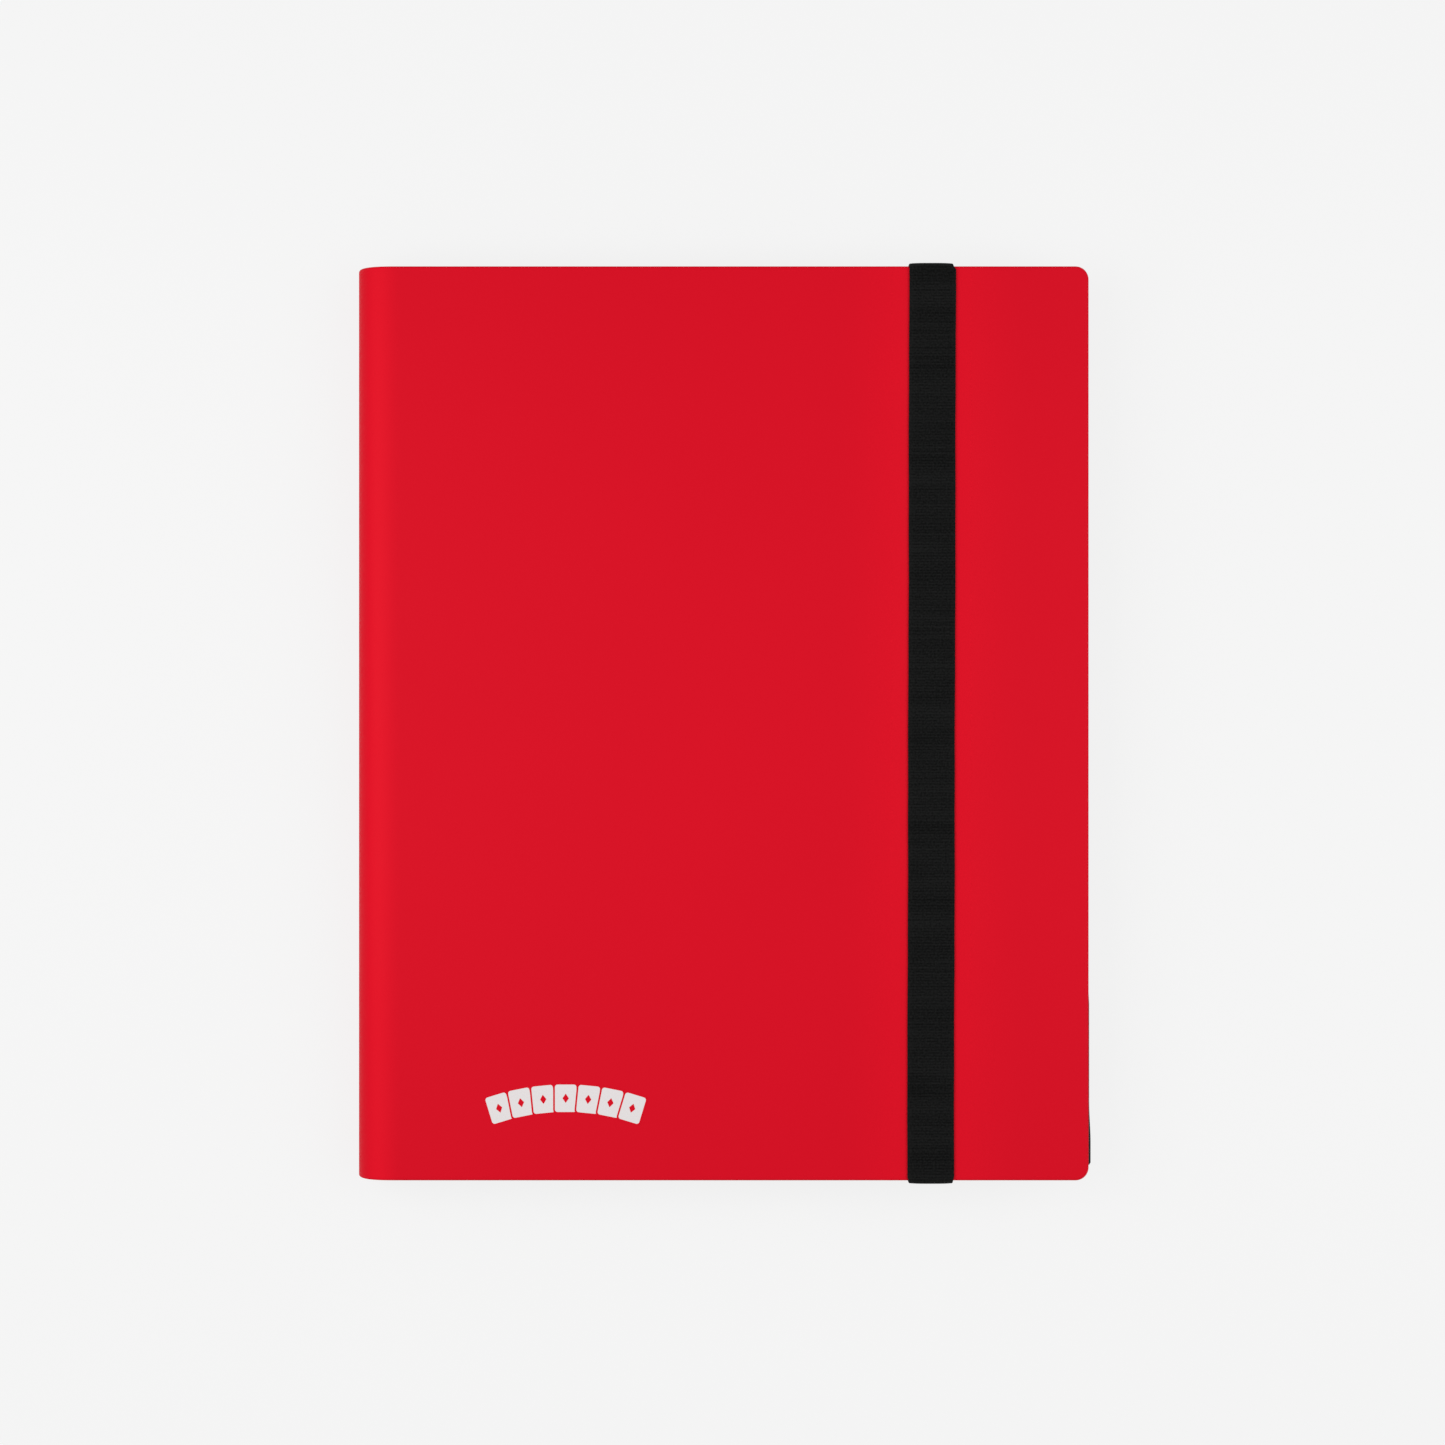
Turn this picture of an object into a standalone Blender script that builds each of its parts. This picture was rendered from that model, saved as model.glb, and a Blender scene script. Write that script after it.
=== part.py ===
"""A side-loading nine-pocket trading card binder, closed and lying on its back cover.

Metres, +Z up. The origin is on the table under the middle of the covers. +X runs from the
spine to the fore edge, +Y to the top edge and +Z out of the front cover. Lengths along X
are given as `u`, the distance from the spine's outer face.
"""

import math

import bmesh
import bpy
from mathutils import Matrix

MM = 0.001

# Covers. Each is three layers, from the outside in: skin, board and lining.
WIDTH = 251.5 * MM
HEIGHT = 313.6 * MM
THICKNESS = 25 * MM
SKIN_T = 0.6 * MM
BOARD_T = 1.0 * MM
LINING_T = 0.4 * MM
LAYER_GAP = 0.1 * MM
COVER_T = SKIN_T + BOARD_T + LINING_T + 2 * LAYER_GAP
CORNER_R = 4.5 * MM
BOARD_INSET = 4.0 * MM
LINING_INSET = 1.5 * MM
PANEL_GAP = 0.1 * MM

# Spine. Its shoulders are quarter rings of thin cover with no board in them: the creases.
SHOULDER_R = 10 * MM
MID_Z = THICKNESS / 2
SPINE_BOARD_INSET = 0.5 * MM
# A crease folds about the point from which its bent and its straight length reach equally
# far, so that a cover turned by 90 degrees on the spine lies flat beside it.
CREASE_MEAN_R = SHOULDER_R - COVER_T / 2
CREASE_AXIS = SHOULDER_R - CREASE_MEAN_R * math.pi / 4

# Pages, numbered from the front cover. Their roots lie on a roof over the spine, so that
# each half of the stack can lie flat when the binder is open.
PAGES = 20
PAGE_PITCH = 1.0 * MM
PAGE_T = 0.6 * MM
TONGUE_T = 0.3 * MM
PAGE_LENGTH = 292 * MM
PAGE_END_U = 245.5 * MM
POCKETS_START_U = 28 * MM
PAGE_CORNER_R = 5 * MM
OUTER_ROOT_U = 8.6 * MM
ROOF_RISE = 0.72 * MM
ROOT_GAP = 0.15 * MM

# Binding strip that carries the pages: a web on the spine under a roof-shaped head.
STRIP_GAP = 0.3 * MM
WEB_HALF_T = 2.3 * MM
HEAD_BACK_U = 7.6 * MM
HEAD_HALF_Z = 9.65 * MM
ROOF_BEHIND_ROOTS = 0.4 * MM

# Elastic strap round the front cover, its two ends tucked into the back cover.
STRAP_U = 197.3 * MM
STRAP_WIDTH = 16 * MM
STRAP_T = 0.9 * MM
STRAP_CLEAR = 0.2 * MM
STRAP_BEND_R = 1.3 * MM
TAB_BOTTOM = 0.75 * MM
TAB_LENGTH = 11.5 * MM
NOTCH_SIDE_GAP = 0.3 * MM
# A quarter turn takes the middle of the strap's run off the cover and beside the fore edge.
STRAP_RUN_Z = THICKNESS + STRAP_CLEAR + STRAP_T / 2
STRAP_PARKED_U = WIDTH + 1.15 * MM
STRAP_PARKED_Z = 8.5 * MM
STRAP_AXIS_U = (STRAP_PARKED_U + STRAP_PARKED_Z + STRAP_U - STRAP_RUN_Z) / 2
STRAP_AXIS_Z = (STRAP_PARKED_Z - STRAP_PARKED_U + STRAP_U + STRAP_RUN_Z) / 2

ARC_STEPS = 6
RING_STEPS = 9

HALF_H = HEIGHT / 2
BINDER = "trading_card_binder"


def start_clean():
    for obj in list(bpy.data.objects):
        bpy.data.objects.remove(obj)
    collection = bpy.data.collections.new(BINDER)
    bpy.context.scene.collection.children.link(collection)
    return collection


def material(name, colour, roughness):
    made = bpy.data.materials.new(name)
    made.use_nodes = True
    shader = made.node_tree.nodes["Principled BSDF"]
    shader.inputs["Base Color"].default_value = (*colour, 1)
    shader.inputs["Roughness"].default_value = roughness
    shader.inputs["Metallic"].default_value = 0
    made.diffuse_color = (*colour, 1)
    return made


collection = start_clean()
COVER_RED = material("cover_red", (0.69, 0.008, 0.021), 0.5)
BOARD_GREY = material("board_grey", (0.30, 0.27, 0.23), 0.9)
LINING_BLACK = material("lining_black", (0.012, 0.012, 0.013), 0.7)
PAGE_FILM = material("page_film", (0.03, 0.03, 0.032), 0.25)
BINDING_BLACK = material("binding_black", (0.012, 0.012, 0.013), 0.6)
STRAP_BLACK = material("strap_black", (0.009, 0.009, 0.010), 0.85)


def x_of(u):
    return u - WIDTH / 2


def add(name, data, finish):
    obj = bpy.data.objects.new(name, data)
    data.materials.append(finish)
    collection.objects.link(obj)
    return obj


def pivot(name, u, z):
    """An empty on a hinge line that runs along Y."""
    empty = bpy.data.objects.new(name, None)
    empty.location = (x_of(u), 0, z)
    empty.empty_display_size = 10 * MM
    collection.objects.link(empty)
    return empty


def attach(children, parent):
    bpy.context.view_layer.update()
    for child in children:
        child.parent = parent
        child.matrix_parent_inverse = parent.matrix_world.inverted()


def prism(name, outline, depth, finish):
    """A flat outline in local XY, made `depth` thick about local Z = 0."""
    curve = bpy.data.curves.new(name, "CURVE")
    curve.dimensions = "2D"
    curve.fill_mode = "BOTH"
    curve.extrude = depth / 2
    spline = curve.splines.new("POLY")
    spline.points.add(len(outline) - 1)
    for point, (a, b) in zip(spline.points, outline):
        point.co = (a, b, 0, 1)
    spline.use_cyclic_u = True
    return add(name, curve, finish)


def sheet(name, outline, bottom, top, finish):
    """A flat layer: the outline holds (u, y)."""
    obj = prism(name, [(x_of(u), y) for u, y in outline], top - bottom, finish)
    obj.location.z = (bottom + top) / 2
    return obj


def moulding(name, section, length, finish):
    """A bar along Y: the section holds (u, z)."""
    obj = prism(name, [(x_of(u), z) for u, z in section], length, finish)
    obj.rotation_euler = (math.radians(90), 0, 0)
    return obj


def arc(a, b, radius, start, end, steps):
    """Points from one angle in degrees to another about (a, b)."""
    turns = [math.radians(start + (end - start) * n / steps) for n in range(steps + 1)]
    return [(a + radius * math.cos(t), b + radius * math.sin(t)) for t in turns]


def layer(depth_in, depth_out):
    """A layer's bottom and top in the back cover, then in the front cover."""
    return (depth_in, depth_out), (THICKNESS - depth_out, THICKNESS - depth_in)


SKIN = (0, SKIN_T)
BOARD = (SKIN_T + LAYER_GAP, SKIN_T + LAYER_GAP + BOARD_T)
LINING = (COVER_T - LINING_T, COVER_T)


def panel_outline(inset, start_u, notched=False):
    """A cover panel with its two fore corners rounded, and notches for the strap's ends."""
    end_u, half = WIDTH - inset, HALF_H - inset
    radius = CORNER_R - inset
    outline = [(start_u, -half)]
    if notched:
        side = STRAP_WIDTH / 2 + NOTCH_SIDE_GAP
        floor = HALF_H - TAB_LENGTH - NOTCH_SIDE_GAP
        left, right = STRAP_U - side, STRAP_U + side
        outline += [(left, -half), (left, -floor), (right, -floor), (right, -half)]
    outline += arc(end_u - radius, -half + radius, radius, -90, 0, ARC_STEPS)
    outline += arc(end_u - radius, half - radius, radius, 0, 90, ARC_STEPS)
    if notched:
        outline += [(right, half), (right, floor), (left, floor), (left, half)]
    return outline + [(start_u, half)]


def cover(side, at):
    """The three layers of the back cover (at = 0) or of the front cover (at = 1)."""
    start = SHOULDER_R + PANEL_GAP
    board = panel_outline(BOARD_INSET, start + BOARD_INSET, notched=at == 0)
    return [
        sheet(f"{side}_skin", panel_outline(0, start), *layer(*SKIN)[at], COVER_RED),
        sheet(f"{side}_board", board, *layer(*BOARD)[at], BOARD_GREY),
        sheet(f"{side}_lining", panel_outline(LINING_INSET, start), *layer(*LINING)[at], LINING_BLACK),
    ]


def crease(side, at):
    """The two quarter rings of skin and lining between a cover and the spine."""
    centre_z = (SHOULDER_R, THICKNESS - SHOULDER_R)[at]
    start, end = ((180, 270), (90, 180))[at]
    made = []
    for name, (outside, inside), inset, finish in (
        ("skin", SKIN, 0, COVER_RED),
        ("lining", LINING, LINING_INSET, LINING_BLACK),
    ):
        outer = arc(SHOULDER_R, centre_z, SHOULDER_R - outside, start, end, RING_STEPS)
        inner = arc(SHOULDER_R, centre_z, SHOULDER_R - inside, end, start, RING_STEPS)
        length = HEIGHT - 2 * inset
        made.append(moulding(f"{side}_crease_{name}", outer + inner, length, finish))
    return made


def spine():
    """The three layers of the flat middle of the spine."""
    made = []
    for name, (outside, inside), end_gap, inset, finish in (
        ("skin", SKIN, PANEL_GAP, 0, COVER_RED),
        ("board", BOARD, SPINE_BOARD_INSET, BOARD_INSET, BOARD_GREY),
        ("lining", LINING, PANEL_GAP, LINING_INSET, LINING_BLACK),
    ):
        half = MID_Z - SHOULDER_R - end_gap
        low, high = MID_Z - half, MID_Z + half
        section = [(outside, low), (inside, low), (inside, high), (outside, high)]
        made.append(moulding(f"spine_{name}", section, HEIGHT - 2 * inset, finish))
    return made


def page_z(number):
    return MID_Z + PAGE_PITCH * ((PAGES + 1) / 2 - number)


def root_u(z):
    """Where a page's root lies: furthest from the spine in the middle of the stack."""
    outermost = PAGE_PITCH * (PAGES - 1) / 2
    steps_in = (outermost - abs(z - MID_Z)) / PAGE_PITCH
    return OUTER_ROOT_U + ROOF_RISE * steps_in


def binding_strip():
    """A T-shaped bar: the web stands on the spine and the roof follows the page roots."""
    base = COVER_T + STRIP_GAP
    low = MID_Z - HEAD_HALF_Z
    lowest_root = page_z(PAGES)
    eave = root_u(lowest_root) - ROOF_BEHIND_ROOTS - ROOF_RISE * (lowest_root - low) / PAGE_PITCH
    ridge_z = page_z(PAGES // 2 + 1)
    ridge = root_u(ridge_z) - ROOF_BEHIND_ROOTS
    lower = [
        (base, MID_Z - WEB_HALF_T),
        (HEAD_BACK_U, MID_Z - WEB_HALF_T),
        (HEAD_BACK_U, low),
        (eave, low),
        (ridge, ridge_z),
    ]
    upper = [(u, THICKNESS - z) for u, z in reversed(lower)]
    return moulding("page_binding_strip", lower + upper, PAGE_LENGTH, BINDING_BLACK)


def page_mesh(root):
    """One pocket page about its own root line: a panel with a thinner tongue."""
    panel_start, panel_end = POCKETS_START_U - root, PAGE_END_U - root
    size = (panel_end - panel_start, PAGE_LENGTH, PAGE_T)
    centre = ((panel_start + panel_end) / 2, 0, 0)
    shape = Matrix.Translation(centre) @ Matrix.Diagonal((*size, 1))
    bm = bmesh.new()
    bmesh.ops.create_cube(bm, size=1, matrix=shape)
    fore_corners = [
        e
        for e in bm.edges
        if all(v.co.x > centre[0] for v in e.verts) and e.verts[0].co.y * e.verts[1].co.y > 0
    ]
    bmesh.ops.bevel(
        bm, geom=fore_corners, offset=PAGE_CORNER_R, segments=ARC_STEPS, profile=0.5, affect="EDGES"
    )
    spine_end = min(bm.faces, key=lambda f: f.calc_center_median().x)
    step = (PAGE_T - TONGUE_T) / 2
    bmesh.ops.inset_region(bm, faces=[spine_end], thickness=step, use_even_offset=True)
    tongue = bmesh.ops.extrude_discrete_faces(bm, faces=[spine_end])["faces"][0]
    for vert in tongue.verts:
        vert.co.x = ROOT_GAP
    mesh = bpy.data.meshes.new("pocket_page")
    bm.to_mesh(mesh)
    bm.free()
    return mesh


def pages(spine_pivot):
    meshes = {}
    for number in range(1, PAGES + 1):
        z = page_z(number)
        root = root_u(z)
        key = round(root / MM, 3)
        if key not in meshes:
            meshes[key] = page_mesh(root)
            meshes[key].materials.append(PAGE_FILM)
        page = bpy.data.objects.new(f"page_{number:02d}", meshes[key])
        page.location = (x_of(root), 0, z)
        collection.objects.link(page)
        attach([page], spine_pivot)


def strap():
    """The band over the front cover and down both ends, as one bent strip 16 mm wide."""
    inner_y, inner_z = HALF_H + STRAP_CLEAR, THICKNESS + STRAP_CLEAR
    outer_y, outer_z = inner_y + STRAP_T, inner_z + STRAP_T
    inner_r = STRAP_BEND_R - STRAP_T
    centre_y, centre_z = outer_y - STRAP_BEND_R, outer_z - STRAP_BEND_R
    outside = arc(centre_y, centre_z, STRAP_BEND_R, 0, 90, ARC_STEPS)
    outside += arc(-centre_y, centre_z, STRAP_BEND_R, 90, 180, ARC_STEPS)
    inside = arc(-centre_y, centre_z, inner_r, 180, 90, ARC_STEPS)
    inside += arc(centre_y, centre_z, inner_r, 90, 0, ARC_STEPS)
    outline = [(outer_y, TAB_BOTTOM), *outside, (-outer_y, TAB_BOTTOM)]
    outline += [(-inner_y, TAB_BOTTOM), *inside, (inner_y, TAB_BOTTOM)]
    band = prism("elastic_strap", outline, STRAP_WIDTH, STRAP_BLACK)
    band.rotation_euler = (math.radians(90), 0, math.radians(90))
    band.location.x = x_of(STRAP_U)
    return band


def strap_tab(name, end):
    """The stretch of strap that is glued between the back cover's skin and lining."""
    outside = HALF_H + STRAP_CLEAR - PANEL_GAP
    ys = sorted((end * (HALF_H - TAB_LENGTH), end * outside))
    left, right = STRAP_U - STRAP_WIDTH / 2, STRAP_U + STRAP_WIDTH / 2
    outline = [(left, ys[0]), (right, ys[0]), (right, ys[1]), (left, ys[1])]
    return sheet(name, outline, TAB_BOTTOM, TAB_BOTTOM + STRAP_T, STRAP_BLACK)


def build():
    spine_pivot = pivot("spine_hinge_axis", CREASE_AXIS, CREASE_AXIS)
    front_pivot = pivot("front_hinge_axis", CREASE_AXIS, THICKNESS - CREASE_AXIS)
    strap_pivot = pivot("strap_swing_axis", STRAP_AXIS_U, STRAP_AXIS_Z)
    attach([front_pivot], spine_pivot)

    cover("back", 0)
    crease("rear", 0)
    strap_tab("strap_tab_top", 1)
    strap_tab("strap_tab_bottom", -1)
    attach(spine() + [binding_strip()], spine_pivot)
    attach(cover("front", 1) + crease("front", 1), front_pivot)
    pages(spine_pivot)
    attach([strap()], strap_pivot)


build()
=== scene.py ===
import math

import bmesh
import bpy
import numpy as np
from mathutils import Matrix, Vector


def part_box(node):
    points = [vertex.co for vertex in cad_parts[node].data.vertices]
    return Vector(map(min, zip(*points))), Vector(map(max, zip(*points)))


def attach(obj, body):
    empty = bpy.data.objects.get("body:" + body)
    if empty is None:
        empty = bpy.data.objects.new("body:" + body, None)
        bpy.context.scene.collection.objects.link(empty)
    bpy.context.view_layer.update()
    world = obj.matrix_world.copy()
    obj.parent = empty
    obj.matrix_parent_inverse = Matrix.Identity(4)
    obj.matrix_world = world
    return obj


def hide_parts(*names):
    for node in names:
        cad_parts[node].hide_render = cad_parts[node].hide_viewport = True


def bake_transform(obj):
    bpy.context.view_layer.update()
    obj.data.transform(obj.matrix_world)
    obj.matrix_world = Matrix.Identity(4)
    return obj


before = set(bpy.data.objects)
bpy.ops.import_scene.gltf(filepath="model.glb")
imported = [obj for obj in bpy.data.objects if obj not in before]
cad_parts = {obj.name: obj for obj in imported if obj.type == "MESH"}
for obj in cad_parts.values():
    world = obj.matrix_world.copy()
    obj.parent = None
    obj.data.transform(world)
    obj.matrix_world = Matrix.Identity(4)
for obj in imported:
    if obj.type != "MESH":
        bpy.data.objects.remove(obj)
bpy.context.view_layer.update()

# The looks of a nine-pocket trading card binder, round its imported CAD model.
#
# Metres. +X runs from the spine to the fore edge, +Y to the top edge, +Z out of the front
# cover. On a cover, `s` is the length along its outer face from the middle of the spine, and
# `depth` is measured inwards from that face.

MM = 0.001

# Places and sizes that the CAD model sets.
SPINE_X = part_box("spine_skin")[0].x
FORE_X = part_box("front_skin")[1].x
HALF_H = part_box("front_skin")[1].y
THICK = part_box("front_skin")[1].z
SHOULDER_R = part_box("rear_crease_skin")[1].x - SPINE_X
LINING_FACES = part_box("back_lining")[0].z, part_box("back_lining")[1].z
LINING_INSET = HALF_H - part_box("back_lining")[1].y
STRAP_LOW, STRAP_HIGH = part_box("elastic_strap")
STRAP_WIDTH = STRAP_HIGH.x - STRAP_LOW.x
TAB_LOW, TAB_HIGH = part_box("strap_tab_top")

# The strap sits a little nearer the fore edge here than in the CAD model.
STRAP_SHIFT = 0.25 * MM
STRAP_X = (STRAP_LOW.x + STRAP_HIGH.x) / 2 + STRAP_SHIFT

# Cover surface: its outline, the skin rolled round it, and the crease beside the spine.
CORNER_R = 4.5 * MM
SKIN_WALL = 0.45 * MM
ROLL_R = 0.9 * MM
FLANGE = 3.4 * MM
SPINE_HALF = THICK / 2 - SHOULDER_R
CREASE_TAIL = 1.1


def crease_profile():
    """Along a shoulder: length, distance from the spine's face, rise, and turn from upright.

    The bend is round up to its tail, over which it eases out into the flat panel. The tail's
    length is given in radii, and the radius is what brings the panel to its height.
    """
    round_end = (math.pi - CREASE_TAIL) / 2
    along = np.linspace(0, round_end + CREASE_TAIL, 301)
    left = along[-1] - along
    turn = np.where(left > CREASE_TAIL, along, math.pi / 2 - left**2 / (2 * CREASE_TAIL))
    step = along[1]
    out, up = (
        np.concatenate([[0], np.cumsum((f[1:] + f[:-1]) / 2) * step])
        for f in (np.sin(turn), np.cos(turn))
    )
    radius = SHOULDER_R / up[-1]
    return along * radius, out * radius, up * radius, turn


CREASE = crease_profile()
CREASE_LENGTH, CREASE_REACH = CREASE[0][-1], CREASE[1][-1]
COVER_LENGTH = SPINE_HALF + CREASE_LENGTH + FORE_X - SPINE_X - CREASE_REACH
STRAP_S = COVER_LENGTH - (FORE_X - STRAP_X)

# The strap's mark in the padded front cover: its depth, its ease at the strap's edge, and the
# depths between which it fades on the rolled rim. Then the swelling beside it: its height, and
# its distance off the strap's edge.
PRESS_DEPTH = 0.2 * MM
PRESS_EASE = -1.5 * MM, 2.5 * MM
PRESS_FADE = 1.2 * MM, 0.5 * MM
SWELL_HEIGHT = 0.1 * MM
SWELL_AT = 5.5 * MM
SWELL_WIDTH = 4 * MM

# The strap's way out of the back cover, measured off the strap's edges.
SLOT_EASE = 0.3 * MM, 2 * MM

# The front lining's creep past the fore edge, and what it adds near the corner.
CREEP = 0.35 * MM
CREEP_MORE = 0.5 * MM
# Where it starts, widens and ends, down from the middle of the edge.
CREEP_START = 70 * MM, 97 * MM
CREEP_WIDENS = 130 * MM, 144 * MM
CREEP_END = 151 * MM, 153 * MM
# Where it grows, in from the fore edge, and the length of side that takes close lines.
CREEP_ACROSS = 16 * MM, 2.5 * MM
CREEP_FINE_LENGTH = 27 * MM

# Spacing of the cover meshes' lines.
RIM_STEPS = 9
RIM_SPAN = 0.9 * MM
CORNER_STEP = 0.75 * MM
PANEL_STEP = 7 * MM
STRAP_ZONE = 22 * MM


# ---------------------------------------------------------------- mesh tools

SAME_POINT = 0.001 * MM


def weld(mesh):
    """Joins points that coincide, which drops the empty faces between them."""
    welded = bmesh.new()
    welded.from_mesh(mesh)
    bmesh.ops.remove_doubles(welded, verts=welded.verts, dist=SAME_POINT)
    welded.to_mesh(mesh)
    welded.free()


def finish_mesh(name, vertices, faces, uvs, sharp_deg=40):
    """A smooth-shaded object. uvs holds one (u, v) in metres for each vertex."""
    mesh = bpy.data.meshes.new(name)
    mesh.from_pydata([tuple(v) for v in vertices], [], faces)
    layer = mesh.uv_layers.new(name="cloth")
    corners = np.empty(len(mesh.loops), np.int32)
    mesh.loops.foreach_get("vertex_index", corners)
    layer.data.foreach_set("uv", np.asarray(uvs, np.float32)[corners].ravel())
    weld(mesh)
    mesh.shade_smooth()
    mesh.set_sharp_from_angle(angle=math.radians(sharp_deg))
    mesh.update()
    piece = bpy.data.objects.new(name, mesh)
    bpy.context.scene.collection.objects.link(piece)
    return piece


def two_faced_sheet(name, top, bottom, uv, flip=False):
    """A closed sheet between two grids of points that share their outline's order."""
    rows, columns = top.shape[:2]
    count = rows * columns
    index = np.arange(count).reshape(rows, columns)

    def quads(grid, reverse):
        a, b, c, d = grid[:-1, :-1], grid[1:, :-1], grid[1:, 1:], grid[:-1, 1:]
        corners = (d, c, b, a) if reverse else (a, b, c, d)
        return np.stack(corners, axis=-1).reshape(-1, 4)

    border = np.concatenate([index[:, 0], index[-1, 1:], index[-2::-1, -1], index[0, -2:0:-1]])
    after = np.roll(border, -1)
    wall = np.stack([after, border, border + count, after + count], axis=-1)
    faces = np.concatenate([quads(index, False), quads(index + count, True), wall])
    if flip:
        faces = faces[:, ::-1]
    vertices = np.concatenate([top.reshape(-1, 3), bottom.reshape(-1, 3)])
    both = np.concatenate([uv.reshape(-1, 2)] * 2)
    return finish_mesh(name, vertices, faces.tolist(), both)


def ringed_solid(name, rings, uv):
    """A closed solid through a row of rings with the same number of points."""
    count, around = rings.shape[:2]
    index = np.arange(count * around).reshape(count, around)
    nearer, further = index[:-1], index[1:]
    sides = np.stack(
        [nearer, np.roll(nearer, -1, 1), np.roll(further, -1, 1), further], axis=-1
    ).reshape(-1, 4)
    faces = sides.tolist() + [index[0, ::-1].tolist(), index[-1].tolist()]
    return finish_mesh(name, rings.reshape(-1, 3), faces, uv.reshape(-1, 2))


def smooth_step(value, low, high):
    t = np.clip((value - low) / (high - low), 0, 1)
    return t * t * (3 - 2 * t)


# ---------------------------------------------------------------- rounded sheets


def rolled_rim(radius, wall, flange):
    """(inset, depth) along the outer and inner faces of a skin rolled round its edge."""
    turns = np.linspace(0, math.pi, RIM_STEPS)
    faces = []
    for r, back in ((radius, 2 * radius), (radius - wall, 2 * radius - wall)):
        roll = [(radius - r * math.sin(t), radius - r * math.cos(t)) for t in turns]
        faces.append(np.array(roll + [(flange, back)]))
    return faces


def plain_rim(wall, top=0.0):
    """(inset, depth) for a sheet that ends in a half-round edge."""
    r = wall / 2
    turns = np.linspace(0, math.pi, RIM_STEPS)
    outer = [(r - r * math.sin(t), top + r - r * math.cos(t)) for t in turns]
    outer.append((1.5 * r, top + wall))
    inner = [(inset, top + wall) for inset in np.linspace(4 * r, 1.6 * r, RIM_STEPS + 1)]
    return np.array(outer), np.array(inner)


def at_rim(nominal, profile, span):
    """Inset and depth at a nominal inset: below `span` it follows the rim's profile."""
    along = np.linspace(0, span, len(profile))
    backwards = profile[::-1]
    inset = np.where(nominal < span, np.interp(nominal, along, backwards[:, 0]), nominal)
    return inset, np.interp(nominal, along, backwards[:, 1])


def rounded_grid(length, half, radius, profile, span, from_end, from_sides, slot=None):
    """(s, y, depth) over a sheet whose two far corners are round.

    from_end and from_sides hold nominal insets from the far end and from both sides.
    slot is (profile, weight along s), for a stretch where the side rims are different.
    """
    end = from_end[:, None]
    side = np.concatenate([from_sides, from_sides[-2::-1]])[None, :]
    sign = np.concatenate([-np.ones(len(from_sides)), np.ones(len(from_sides) - 1)])[None, :]
    inset_s, depth_s = at_rim(end, profile, span)
    inset_y, depth_y = (v + 0 * end for v in at_rim(side, profile, span))
    if slot is not None:
        weight = slot[1](length - end)
        slot_inset, slot_depth = at_rim(side, slot[0], span)
        inset_y = inset_y + (slot_inset - inset_y) * weight
        depth_y = depth_y + (slot_depth - depth_y) * weight
    s = length - inset_s + 0 * side
    y = half - inset_y
    depth = np.maximum(depth_s + 0 * side, depth_y)

    out_s, out_y = radius - end + 0 * side, radius - side + 0 * end
    corner = (out_s > 0) & (out_y > 0)
    reach = np.maximum(np.maximum(out_s, out_y), 1e-12)
    inset, corner_depth = at_rim(radius - reach, profile, span)
    turn = math.pi / 4 * np.minimum(out_s, out_y) / reach
    major, minor = (radius - inset) * np.cos(turn), (radius - inset) * np.sin(turn)
    along_s = np.where(out_s >= out_y, major, minor)
    along_y = np.where(out_s >= out_y, minor, major)
    s = np.where(corner, length - radius + along_s, s)
    y = np.where(corner, half - radius + along_y, y)
    depth = np.where(corner, corner_depth, depth)
    return s, sign * y, depth


def lines_between(low, high, step):
    return np.linspace(low, high, max(2, round((high - low) / step) + 1))


def lines_through(*stretches):
    """Lines over stretches that adjoin, each given as (low, high, step)."""
    parts = [lines_between(*stretch) for stretch in stretches if stretch[1] > stretch[0]]
    return np.concatenate([part[:-1] for part in parts[:-1]] + parts[-1:])


def nominal_lines(stations, span, steps):
    """Insets from a rim: 0 to `span` in rim steps, then the given stations."""
    rim = np.linspace(0, span, steps + 1)
    return np.concatenate([rim, stations[stations > span * 1.05]])


# ---------------------------------------------------------------- cover shape


def pressed(s):
    """How far the strap presses the padded front cover in, less the swelling beside it."""
    off = np.abs(s - STRAP_S) - STRAP_WIDTH / 2
    dent = PRESS_DEPTH * (1 - smooth_step(off, *PRESS_EASE))
    return dent - SWELL_HEIGHT * np.exp(-(((off - SWELL_AT) / SWELL_WIDTH) ** 2))


def cover_points(front, s, y, depth):
    """Where a point of a cover lies at rest."""
    along = s - SPINE_HALF
    out, up, turn = (np.interp(along, CREASE[0], values) for values in CREASE[1:])
    x = out + depth * np.cos(turn) + np.maximum(along - CREASE_LENGTH, 0)
    z = THICK - SHOULDER_R + up - depth * np.sin(turn) + np.minimum(along, 0)
    if not front:
        z = THICK - z
    return np.stack([SPINE_X + x, y, z], axis=-1)


def cover_stations(length):
    """Lines along s, as insets from the fore edge: close at the crease and at the strap."""
    crease_end = SPINE_HALF + CREASE_LENGTH
    near_strap, past_strap = STRAP_S - STRAP_ZONE, STRAP_S + STRAP_ZONE
    corner = COVER_LENGTH - CORNER_R
    s = lines_through(
        (0, SPINE_HALF, 1.25 * MM),
        (SPINE_HALF, crease_end, 0.9 * MM),
        (crease_end, near_strap, PANEL_STEP),
        (near_strap, past_strap, 1.1 * MM),
        (past_strap, corner, 3 * MM),
        (corner, COVER_LENGTH, CORNER_STEP),
    )
    return np.sort(length - s[s <= length + SAME_POINT])


def side_stations(half, fine_length):
    """Lines along y, as insets from a side: close in the corner and over the fine length."""
    corner = half - CORNER_R
    fine = corner - fine_length
    y = lines_through((0, fine, PANEL_STEP), (fine, corner, 1.5 * MM), (corner, half, CORNER_STEP))
    return np.sort(half - y)


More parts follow.
